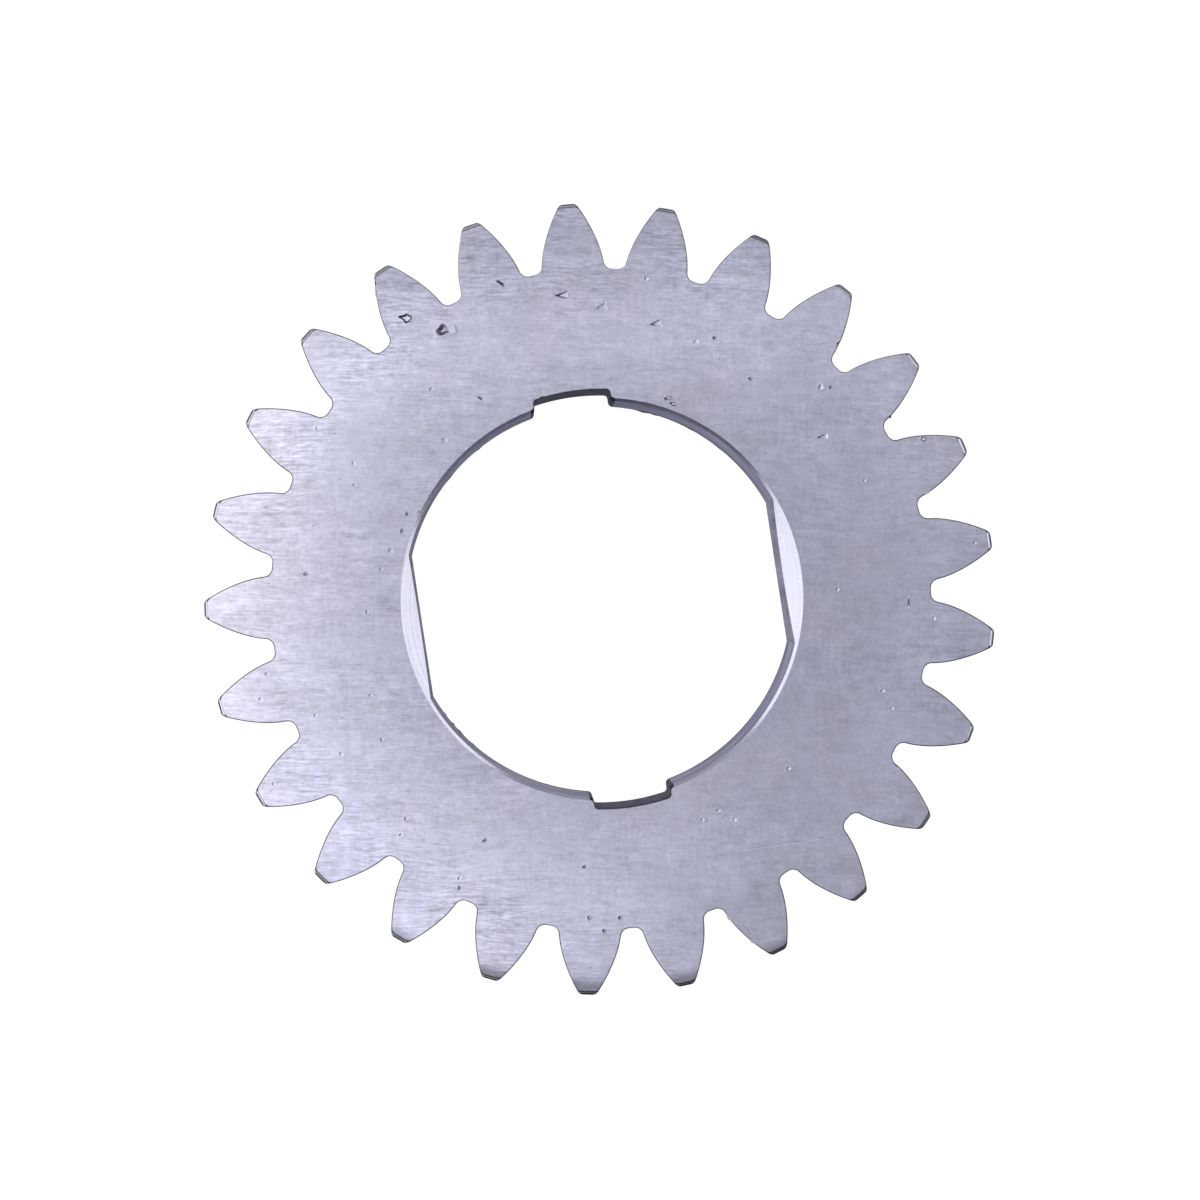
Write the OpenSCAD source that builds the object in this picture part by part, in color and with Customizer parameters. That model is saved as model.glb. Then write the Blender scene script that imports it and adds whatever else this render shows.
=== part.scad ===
// Pump drive gear: a flat external spur gear, driven through a bore with two flats and two notches.
// The bore axis is Z. The rear face lies at Z = 0 and the front face, with the lead-in, looks along +Z.
// +X runs through the middle of one tooth and square to the drive flats. The notches lie along Y.
// Lengths are in millimetres and angles in degrees.

/* [Teeth] */
// Number of teeth
teeth = 25; // [21:1:40]
// Gear module: the pitch diameter divided by the number of teeth
gear_module = 3.5; // [3:0.25:5]
// Pressure angle at the pitch circle
pressure_angle = 25; // [20:0.5:27]
// Share of the circular pitch that a tooth fills at the pitch circle
tooth_share = 0.506; // [0.46:0.002:0.53]
// Height of a tooth above the pitch circle, in modules
addendum = 1; // [0.8:0.05:1.1]
// Depth of a tooth space below the pitch circle, in modules
dedendum = 1.25; // [1.15:0.01:1.35]
// Radius of the fillet between a flank and the root circle, in modules
root_fillet = 0.3; // [0.2:0.01:0.34]

/* [Body] */
// Thickness between the two ground faces
thickness = 9; // [6:0.5:20]
// Chamfer on both rims of the turned blank, which breaks the tip of each tooth
tip_chamfer = 0.4; // [0.1:0.05:1]

/* [Drive bore] */
// Diameter of the round wall
bore_d = 47.3; // [40:0.1:60]
// Depth of each drive flat inside the round wall
flat_depth = 1.65; // [0.5:0.05:2.5]
// Depth of each notch beyond the round wall
notch_depth = 1.35; // [0.5:0.05:3]
// Width of each notch
notch_w = 9.2; // [4:0.1:14]
// Radius of the two inside corners of each notch
notch_corner = 0.45; // [0.1:0.05:0.5]
// Width of the lead-in cone round the round wall, on the front face
lead_in_w = 0.35; // [0.1:0.05:0.8]
// Slope of the lead-in cone, from the bore axis
lead_in_angle = 45; // [30:5:60]

/* [Hidden] */
$fn = 240;

// Straight steps that draw one flank, and one root fillet
flank_steps = 12;
fillet_steps = 8;
// Length by which a cutting shape runs past the face that it cuts
overcut = 1;

// Gear circles
pitch_r = gear_module * teeth / 2;
base_r = pitch_r * cos(pressure_angle);
tip_r = pitch_r + addendum * gear_module;
root_r = pitch_r - dedendum * gear_module;
tooth_angle = 360 / teeth;

// Root fillet: its radius, and the circle that its centre lies on
fillet_r = root_fillet * gear_module;
fillet_centre_r = root_r + fillet_r;

// Bore sizes, from the axis
bore_r = bore_d / 2;
flat_x = bore_r - flat_depth;
notch_r = bore_r + notch_depth;
lead_in_r = bore_r + lead_in_w;

// Centre of a notch's corner radius, which touches the notch's side and its floor
corner_x = notch_w / 2 - notch_corner;
corner_y = sqrt((notch_r - notch_corner) ^ 2 - corner_x ^ 2);

// Involute function of an angle, as an angle
function involute(angle) = tan(angle) * 180 / PI - angle;

// Point at a radius and an angle round the bore axis
function polar(r, angle) = r * [cos(angle), sin(angle)];

// Angle from the middle of a tooth space to its flank at radius r. Below the base circle the flank is radial.
function space_half_angle(r) =
    (1 - tooth_share) * tooth_angle / 2 - involute(pressure_angle) + involute(acos(base_r / max(r, base_r)));

// Length of the flank's normal, from the base circle to the fillet's centre. It is 0 below the base circle.
fillet_normal = sqrt(max(0, fillet_centre_r ^ 2 - base_r ^ 2));
// True where the fillet runs into the involute itself, and false where it runs into the radial part below it
meets_involute = fillet_normal >= fillet_r;

// Radius at which the fillet meets the flank
fillet_top_r = meets_involute
    ? norm([base_r, fillet_normal - fillet_r])
    : sqrt(fillet_centre_r ^ 2 - fillet_r ^ 2);
// Angle from the middle of the tooth space to the fillet's centre, one fillet radius inside the flank
fillet_angle = meets_involute
    ? space_half_angle(fillet_centre_r) - fillet_r / base_r * 180 / PI
    : space_half_angle(base_r) - asin(fillet_r / fillet_centre_r);

// One flank, from outside the tip circle down to its fillet
function flank() =
    let (mouth_r = tip_r + overcut)
    [for (i = [0 : flank_steps - 1])
        let (r = mouth_r + (fillet_top_r - mouth_r) * i / flank_steps)
        polar(r, space_half_angle(r))];

// One root fillet, from the flank round to the root circle
function fillet() =
    let (
        centre = polar(fillet_centre_r, fillet_angle),
        top = polar(fillet_top_r, space_half_angle(fillet_top_r)) - centre,
        from = atan2(top.y, top.x),
        to = fillet_angle + 180
    )
    [for (i = [0 : fillet_steps]) centre + polar(fillet_r, from + (to - from) * i / fillet_steps)];

// The space between two teeth, along +X, ready to cut through the blank
module tooth_space() {
    side = concat(flank(), fillet());
    other_side = [for (i = [len(side) - 1 : -1 : 0]) [side[i].x, -side[i].y]];
    translate([0, 0, -overcut])
        linear_extrude(height = thickness + 2 * overcut)
            polygon(concat(side, other_side));
}

// The turned blank: a disc of the tip diameter with both rims chamfered
module blank() {
    rotate_extrude()
        polygon([
            [0, 0],
            [tip_r - tip_chamfer, 0],
            [tip_r, tip_chamfer],
            [tip_r, thickness - tip_chamfer],
            [tip_r - tip_chamfer, thickness],
            [0, thickness]
        ]);
}

// A bar along the bore axis, as wide as the sizes say, that runs past both faces
module through_bar(x_size, y_size) {
    translate([-x_size / 2, -y_size / 2, -overcut])
        cube([x_size, y_size, thickness + 2 * overcut]);
}

// A round bar along the bore axis that runs past both faces
module through_round(r) {
    translate([0, 0, -overcut])
        cylinder(h = thickness + 2 * overcut, r = r);
}

// Round wall with its two flats
module double_flat() {
    intersection() {
        through_round(bore_r);
        through_bar(2 * flat_x, 2 * (bore_r + overcut));
    }
}

// What a rounded corner leaves standing in one notch: the wedge outside its radius, out to the sharp corner
module corner_steel() {
    past_floor = (notch_r + overcut) / (notch_r - notch_corner);
    difference() {
        translate([0, 0, -2 * overcut])
            linear_extrude(height = thickness + 4 * overcut)
                polygon([
                    [corner_x, corner_y],
                    [notch_w / 2 + overcut, corner_y],
                    [notch_w / 2 + overcut, notch_r + overcut],
                    past_floor * [corner_x, corner_y]
                ]);
        translate([corner_x, corner_y, -3 * overcut])
            cylinder(h = thickness + 6 * overcut, r = notch_corner);
    }
}

// The two opposed notches, with parallel sides, a floor round the bore axis and rounded corners
module notches() {
    difference() {
        intersection() {
            through_round(notch_r);
            through_bar(notch_w, 2 * (notch_r + overcut));
        }
        for (x = [0, 1], y = [0, 1])
            mirror([x, 0, 0])
                mirror([0, y, 0])
                    corner_steel();
    }
}

// Lead-in cone from the front face. It runs on past the flats, so that it cuts each one right across.
module lead_in() {
    low_r = flat_x - overcut;
    depth = (lead_in_r - low_r) / tan(lead_in_angle);
    translate([0, 0, thickness - depth])
        cylinder(h = depth + overcut, r1 = low_r, r2 = lead_in_r + overcut * tan(lead_in_angle));
}

module drive_gear() {
    color([0.71, 0.72, 0.79])
        difference() {
            blank();
            for (i = [0 : teeth - 1])
                rotate([0, 0, tooth_angle * (i + 0.5)])
                    tooth_space();
            double_flat();
            notches();
            lead_in();
        }
}

drive_gear();
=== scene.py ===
"""Looks of the pump drive gear: its ground faces, cut teeth, broached bore and wear, and a plain studio.

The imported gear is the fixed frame. One piece, built here with smooth tooth flanks, broken edges and real
dents, stands for it. Sizes are in millimetres and are turned into metres where meshes, lights and the
camera are made. The bore axis is Z, the ground front face looks along +Z, +X runs through the middle of a
tooth and square to the drive flats, and the gear lies on its rear face.
"""

import logging
import math
from dataclasses import dataclass, field
from enum import Enum, IntEnum
from typing import Any, Callable, Mapping, NamedTuple, Optional, Sequence, Union

import bpy
import numpy as np
from mathutils import Matrix, Vector
from mathutils.geometry import delaunay_2d_cdt


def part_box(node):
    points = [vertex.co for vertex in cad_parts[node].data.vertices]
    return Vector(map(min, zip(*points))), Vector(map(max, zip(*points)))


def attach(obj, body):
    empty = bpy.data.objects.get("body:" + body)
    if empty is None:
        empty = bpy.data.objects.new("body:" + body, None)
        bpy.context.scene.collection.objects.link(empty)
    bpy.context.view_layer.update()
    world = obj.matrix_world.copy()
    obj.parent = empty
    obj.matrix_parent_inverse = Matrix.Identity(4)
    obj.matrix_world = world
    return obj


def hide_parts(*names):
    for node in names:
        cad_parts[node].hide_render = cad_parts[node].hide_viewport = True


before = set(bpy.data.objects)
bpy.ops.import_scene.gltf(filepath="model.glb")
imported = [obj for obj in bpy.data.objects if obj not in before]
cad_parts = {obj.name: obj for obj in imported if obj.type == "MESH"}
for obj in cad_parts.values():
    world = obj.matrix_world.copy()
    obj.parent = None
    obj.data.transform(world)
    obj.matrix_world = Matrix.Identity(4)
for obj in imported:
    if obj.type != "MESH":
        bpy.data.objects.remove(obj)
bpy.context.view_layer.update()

log = logging.getLogger("drive_gear")

MM = 0.001
NODE = "drive_gear"
BODY = "root"

# Numbers of the colour sockets on a Mix node: its two inputs and its output
MIX_FIRST, MIX_SECOND, MIX_RESULT = 6, 7, 2

# The photograph shows the gear turned this far about its axis, against the clock
PICTURE_TURN = math.radians(8.67)

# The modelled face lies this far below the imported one, so that burrs and banks stay inside it
HEADROOM = 0.03


class Zone(IntEnum):
    """Surfaces of the gear, in the order of its material slots."""

    FRONT_FACE = 0
    REAR_FACE = 1
    BROKEN_EDGE = 2
    FLANK = 3
    CREST = 4
    LEAD_IN = 5
    ROUND_WALL = 6
    DRIVE_FLAT = 7
    NOTCH_WALL = 8
    DENT_DIRT_AND_SHADE = 9
    TIP_BEVEL = 10


class Lay(Enum):
    """Way in which the marks of a tool run over a surface."""

    STRAIGHT = "straight"
    ROUND = "round"
    AXIAL = "axial"


# Arithmetic on node sockets


@dataclass(frozen=True)
class Signal:
    """What flows out of a node's socket, ready for arithmetic.

    Values add Math nodes, vectors add Vector Math nodes and colours add Mix nodes.
    """

    graph: "Graph"
    socket: bpy.types.NodeSocket

    def joined(self, operation: str, left: "Term", right: "Term") -> "Signal":
        """One operation on two terms, of which this signal is one.

        Args:
            operation: ADD, SUBTRACT or MULTIPLY.
            left: First term.
            right: Second term.

        Returns:
            The result.
        """
        if self.socket.type == "RGBA":
            settings = {"data_type": "RGBA", "blend_type": operation}
            inputs = {0: 1.0, MIX_FIRST: left, MIX_SECOND: right}
            return self.graph.node("ShaderNodeMix", settings, inputs, MIX_RESULT)
        kind = "ShaderNodeVectorMath" if self.socket.type == "VECTOR" else "ShaderNodeMath"
        return self.graph.node(kind, {"operation": operation}, {0: left, 1: right})

    def __add__(self, other: "Term") -> "Signal":
        """Sum."""
        return self.joined("ADD", self, other)

    def __radd__(self, other: "Term") -> "Signal":
        """Sum with this signal on the right."""
        return self.joined("ADD", other, self)

    def __sub__(self, other: "Term") -> "Signal":
        """Difference."""
        return self.joined("SUBTRACT", self, other)

    def __rsub__(self, other: "Term") -> "Signal":
        """Difference with this signal on the right."""
        return self.joined("SUBTRACT", other, self)

    def __mul__(self, other: "Term") -> "Signal":
        """Product."""
        return self.joined("MULTIPLY", self, other)

    def __rmul__(self, other: "Term") -> "Signal":
        """Product with this signal on the right."""
        return self.joined("MULTIPLY", other, self)


Term = Union[Signal, float, Sequence[float]]


class Graph:
    """The node tree of one material or world, built by calls."""

    def __init__(self, tree: bpy.types.NodeTree) -> None:
        """Starts with an empty tree.

        Args:
            tree: Node tree to fill.
        """
        self.tree = tree
        self.tree.nodes.clear()

    def node(
        self,
        kind: str,
        settings: Optional[Mapping[str, Any]] = None,
        inputs: Optional[Mapping[Union[int, str], Term]] = None,
        output: Union[int, str] = 0,
    ) -> Signal:
        """Adds any node.

        Args:
            kind: Type of the node.
            settings: Its settings, set first.
            inputs: Value or link of each socket, by name or number.
            output: Name or number of the output that is returned.

        Returns:
            The chosen output, or None from a node that has none.
        """
        made = self.tree.nodes.new(kind)
        for name, value in (settings or {}).items():
            setattr(made, name, value)
        for name, value in (inputs or {}).items():
            if isinstance(value, Signal):
                self.tree.links.new(value.socket, made.inputs[name])
            else:
                made.inputs[name].default_value = value
        return Signal(self, made.outputs[output]) if made.outputs else None

    def place(self) -> Signal:
        """Place on the object, in millimetres."""
        metres = self.node("ShaderNodeTexCoord", output="Object")
        return metres * (1 / MM, 1 / MM, 1 / MM)

    def turned(self, vector: Signal, angle: float) -> Signal:
        """A vector turned about the bore axis.

        Args:
            vector: Vector to turn.
            angle: Turn in radians, against the clock.

        Returns:
            The turned vector.
        """
        inputs = {"Vector": vector, "Angle": angle}
        return self.node("ShaderNodeVectorRotate", {"rotation_type": "Z_AXIS"}, inputs)

    def noise(
        self,
        vector: Signal,
        scale: Sequence[float],
        detail: float = 2.0,
        roughness: float = 0.5,
        warp: float = 0.0,
    ) -> Signal:
        """Smooth noise, about 0.5 on the mean.

        Args:
            vector: Place, in millimetres.
            scale: Waves per millimetre along each axis.
            detail: Number of finer octaves.
            roughness: Share that each finer octave keeps.
            warp: Distortion of the pattern.

        Returns:
            Value from 0 to 1.
        """
        inputs = {"Vector": vector * tuple(scale), "Scale": 1.0, "Detail": detail, "Roughness": roughness}
        return self.node("ShaderNodeTexNoise", None, {**inputs, "Distortion": warp}, "Fac")

    def along(self, place: Signal, axis: Sequence[float]) -> Signal:
        """Distance along an axis through the origin, in millimetres."""
        settings = {"operation": "DOT_PRODUCT"}
        return self.node("ShaderNodeVectorMath", settings, {0: place, 1: tuple(axis)}, "Value")

    def length(self, vector: Signal) -> Signal:
        """Length of a vector."""
        return self.node("ShaderNodeVectorMath", {"operation": "LENGTH"}, {0: vector}, "Value")

    def step(self, value: Signal, low: float, high: float) -> Signal:
        """Smooth step from 0 at low to 1 at high, or down if low is the larger.

        Args:
            value: Value to test.
            low: Where the step starts.
            high: Where the step ends.

        Returns:
            Value from 0 to 1.
        """
        inputs = {"Value": value, "From Min": low, "From Max": high, "To Min": 0.0, "To Max": 1.0}
        return self.node("ShaderNodeMapRange", {"interpolation_type": "SMOOTHSTEP"}, inputs)

    def blend(self, share: Term, first: Term, second: Term) -> Signal:
        """Mix of two colours.

        Args:
            share: Share of the second, from 0 to 1.
            first: Colour where the share is 0.
            second: Colour where the share is 1.

        Returns:
            Mixed colour.
        """
        inputs = {0: share, MIX_FIRST: rgba(first), MIX_SECOND: rgba(second)}
        return self.node("ShaderNodeMix", {"data_type": "RGBA"}, inputs, MIX_RESULT)

    def shaded(self, colour: Signal, value: Signal) -> Signal:
        """A colour made lighter or darker by a value.

        Args:
            colour: Colour to change.
            value: Factor, 1 for no change.

        Returns:
            The changed colour.
        """
        grey = self.node("ShaderNodeCombineColor", None, {0: value, 1: value, 2: value})
        return colour * grey

    def bump(self, height: Signal, distance: float, below: Optional[Signal] = None) -> Signal:
        """Normal that follows a height.

        Args:
            height: Height, as a share of the distance.
            distance: Full height in millimetres.
            below: Normal to start from.

        Returns:
            Normal for a shader.
        """
        inputs = {"Height": height, "Distance": distance * MM, "Strength": 1.0}
        if below is not None:
            inputs["Normal"] = below
        return self.node("ShaderNodeBump", None, inputs)


def rgba(colour: Term) -> Term:
    """A colour of three numbers with its alpha, and a signal as it is."""
    return colour if isinstance(colour, Signal) else (*colour[:3], 1.0)


# Finishes


@dataclass(frozen=True)
class Fade:
    """Slow change over the part, from 1 at the start to its least value at the end.

    It runs along its axis, or outward from its centre where it has none.
    """

    start: float
    end: float
    least: float
    axis: Optional[tuple[float, float, float]] = None
    centre: tuple[float, float, float] = (0.0, 0.0, 0.0)

    def factor(self, graph: Graph, place: Signal) -> Signal:
        """Value of the fade.

        Args:
            graph: Graph to add to.
            place: Place on the object, in millimetres.

        Returns:
            Value from the least one to 1.
        """
        if self.axis is None:
            reach = graph.length((place - self.centre) * (1.0, 1.0, 0.0))
        else:
            reach = graph.along(place, self.axis)
        return 1.0 - graph.step(reach, self.start, self.end) * (1 - self.least)


@dataclass(frozen=True)
class Mottle:
    """Soft blotches of one size, in millimetres."""

    size: float
    contrast: float
    detail: float = 1.0

    def tone(self, graph: Graph, place: Signal) -> Signal:
        """What the blotches add to the tone.

        Args:
            graph: Graph to add to.
            place: Place on the object, in millimetres.

        Returns:
            Value about 0.
        """
        own_layer = place + (0.0, 0.0, 9.0 * self.size)
        blotches = graph.noise(own_layer, (1 / self.size,) * 3, self.detail)
        return (blotches - 0.5) * (2 * self.contrast)


@dataclass(frozen=True)
class Pits:
    """Pinprick pits, at most one in each cell of their spacing, in millimetres.

    Core and rim are shares of a cell. Cells hold a pit where a chance from 0 to 1 passes their rarity.
    """

    darkness: float
    spacing: float = 1.3
    core: float = 0.04
    rim: float = 0.12
    rarity: tuple[float, float] = (0.80, 0.88)
    depth: float = 0.02

    def mask(self, graph: Graph, place: Signal) -> Signal:
        """Where the pits are.

        Args:
            graph: Graph to add to.
            place: Place on the object, in millimetres.

        Returns:
            1 inside a pit and 0 elsewhere.
        """
        cells = {"Vector": place, "Scale": 1 / self.spacing}
        away = graph.node("ShaderNodeTexVoronoi", None, cells, "Distance")
        pick = graph.node("ShaderNodeTexVoronoi", None, cells, "Color")
        chance = graph.node("ShaderNodeSeparateColor", None, {0: pick}, 0)
        return graph.step(away, self.rim, self.core) * graph.step(chance, *self.rarity)


@dataclass(frozen=True)
class ToolMarks:
    """Fine lines that a tool leaves on steel. Their strength may vary from patch to patch.

    Lengths are in millimetres. Straight lines waver to either side by half their waver at the most.
    """

    lay: Lay
    spacing: float
    length: float
    height: float
    contrast: float
    askew: float = 0.0
    patchy: float = 0.0
    fades: tuple[Fade, ...] = ()
    detail: float = 2.0
    grain: float = 0.6
    patch_gain: float = 3.0
    patch_waves: float = 0.11
    waver: float = 2.2
    waver_waves: float = 0.07

    def pattern(self, graph: Graph, place: Signal, turn: float) -> Signal:
        """Lines about 0, stretched along the lay.

        Args:
            graph: Graph to add to.
            place: Place on the object, in millimetres.
            turn: Turn of straight lines from the X axis, in radians.

        Returns:
            Value from about -0.5 to 0.5.
        """
        lines = self.lines(graph, place, turn + self.askew) - 0.5
        if self.patchy:
            own_layer = place + (5.0, 17.0, 3.0)
            patches = graph.noise(own_layer, (self.patch_waves,) * 3, detail=1.0)
            lines = lines * (1 + self.patchy * self.patch_gain * (patches - 0.5))
        for fade in self.fades:
            lines = lines * fade.factor(graph, place)
        return lines

    def lines(self, graph: Graph, place: Signal, turn: float) -> Signal:
        """Lines from 0 to 1, of even strength.

        Args:
            graph: Graph to add to.
            place: Place on the object, in millimetres.
            turn: Turn of straight lines from the X axis, in radians.

        Returns:
            Value from 0 to 1.
        """
        along, across = 1 / self.length, 1 / self.spacing
        if self.lay is Lay.STRAIGHT:
            own_layer = place + (0.0, 0.0, self.length)
            waver = graph.noise(own_layer, (self.waver_waves,) * 3, detail=1.0) * self.waver
            shifted = graph.turned(place, -turn) + graph.node("ShaderNodeCombineXYZ", None, {"Y": waver})
            return graph.noise(shifted, (along, across, along), self.detail, self.grain)
        if self.lay is Lay.AXIAL:
            return graph.noise(place, (across, across, along), self.detail, self.grain)
        flat = place * (1.0, 1.0, 0.0)
        height = graph.along(place, (0.0, 0.0, 1.0))
        section = {"X": graph.length(flat) * across, "Y": height * across}
        mixed = graph.node("ShaderNodeCombineXYZ", None, section)
        return graph.noise(mixed + flat * (along, along, 0.0), (1.0, 1.0, 1.0), self.detail, self.grain)


@dataclass(frozen=True)
class SteelFinish:
    """A bare steel surface: its colours, gloss, tool marks, blotches and pits.

    The stain takes the colour's place in patches, and the lit colour does on the lit side.
    """

    name: str
    colour: tuple[float, float, float]
    stain: tuple[float, float, float]
    roughness: float
    marks: tuple[ToolMarks, ...]
    lit_colour: Optional[tuple[float, float, float]] = None
    lit_side: Optional[Fade] = None
    mottles: tuple[Mottle, ...] = (Mottle(4.0, 0.1, 3.0),)
    unevenness: float = 0.08
    metallic: float = 1.0
    grazing_tint: float = 1.0
    pits: Optional[Pits] = None
    turn: float = 0.0
    fades: tuple[Fade, ...] = ()
    cloud_waves: float = 0.25
    stain_waves: float = 0.08
    stain_edge: tuple[float, float] = (0.4, 0.65)

    def material(self) -> bpy.types.Material:
        """Builds the material.

        Returns:
            The new material.
        """
        made = bpy.data.materials.new(self.name)
        made.use_nodes = True
        graph = Graph(made.node_tree)
        place = graph.place()
        cloud = graph.noise(place, (self.cloud_waves,) * 3, detail=3.0, roughness=0.6)
        tone, normal = self.relief(graph, place)
        # The fades paint shade into the tone, darker by place on the part
        for fade in self.fades:
            tone = tone * fade.factor(graph, place)
        own_layer = place + (31.0, 7.0, 0.0)
        patches = graph.noise(own_layer, (self.stain_waves,) * 3, detail=3.0, roughness=0.55, warp=0.4)
        colour = graph.blend(graph.step(patches, *self.stain_edge), self.colour, self.stain)
        if self.lit_side:
            colour = graph.blend(self.lit_side.factor(graph, place), colour, self.lit_colour)
        roughness = self.roughness + (cloud - 0.5) * (2 * self.unevenness)
        inputs = {
            "Base Color": graph.shaded(colour, tone),
            "Metallic": self.metallic,
            "Roughness": roughness,
            "Specular Tint": rgba((self.grazing_tint,) * 3),
            "Normal": normal,
        }
        shader = graph.node("ShaderNodeBsdfPrincipled", None, inputs)
        graph.node("ShaderNodeOutputMaterial", None, {"Surface": shader})
        return made

    def relief(self, graph: Graph, place: Signal) -> tuple[Signal, Signal]:
        """Tone and normal that the tool marks, blotches and pits give.

        Args:
            graph: Graph to add to.
            place: Place on the object, in millimetres.

        Returns:
            The tone, about 1, and the normal.
        """
        tone, normal = 1.0, None
        for mark in self.marks:
            lines = mark.pattern(graph, place, self.turn)
            tone = tone + lines * (2 * mark.contrast)
            normal = graph.bump(lines, mark.height, normal)
        for mottle in self.mottles:
            tone = tone + mottle.tone(graph, place)
        if self.pits:
            pit = self.pits.mask(graph, place)
            tone = tone - pit * self.pits.darkness
            normal = graph.bump(1.0 - pit, self.pits.depth, normal)
        return tone, normal


def way(heading: float) -> tuple[float, float, float]:
    """Unit vector on the face, for a heading in degrees from the picture's right, against the clock."""
    turn = math.radians(heading) - PICTURE_TURN
    return (math.cos(turn), math.sin(turn), 0.0)


# The lay shows most on the teeth and on the left of the picture
LAY_FADES = (Fade(start=-8.0, end=24.0, least=0.40, axis=way(-12)), Fade(start=40.5, end=35.0, least=0.5))

GROUND = SteelFinish(
    name="ground_face",
    colour=(0.715, 0.727, 0.913),
    stain=(0.730, 0.722, 0.895),
    roughness=0.42,
    marks=(
        ToolMarks(Lay.STRAIGHT, 0.26, 1.5, height=0.004, contrast=0.52, patchy=0.6, fades=LAY_FADES),
        ToolMarks(Lay.STRAIGHT, 0.45, 6.0, height=0.005, contrast=0.34, patchy=0.8, fades=LAY_FADES),
        ToolMarks(Lay.STRAIGHT, 0.8, 3.0, height=0.004, contrast=0.14, askew=math.radians(-5), patchy=0.9),
        ToolMarks(Lay.STRAIGHT, 1.3, 16.0, height=0.005, contrast=0.18, fades=LAY_FADES),
        ToolMarks(Lay.STRAIGHT, 0.5, 3.0, height=0.003, contrast=0.10, askew=math.radians(88), patchy=0.9),
    ),
    lit_colour=(0.755, 0.74, 0.875),
    lit_side=Fade(start=-44.0, end=-26.0, least=0.0, axis=way(-5)),
    mottles=(Mottle(0.5, 0.14), Mottle(1.6, 0.12), Mottle(6.0, 0.10, 2.0)),
    pits=Pits(0.3),
    turn=-PICTURE_TURN,
    # Painted shade: these fades darken the face round the bore, toward the right, the top and the lower
    # right, and most of all on the lowest tooth tips
    fades=(
        Fade(start=46.0, end=15.0, least=0.65, centre=tuple(8.5 * part for part in way(158))),
        Fade(start=9.0, end=25.0, least=0.90, axis=way(-5)),
        Fade(start=29.0, end=45.0, least=0.60, axis=way(98)),
        Fade(start=53.0, end=44.0, least=0.92, centre=tuple(12.0 * part for part in way(185))),
        Fade(start=36.0, end=42.0, least=0.92, axis=way(-65)),
        Fade(start=50.6, end=52.4, least=0.45, centre=tuple(6.0 * part for part in way(88))),
    ),
)
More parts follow.
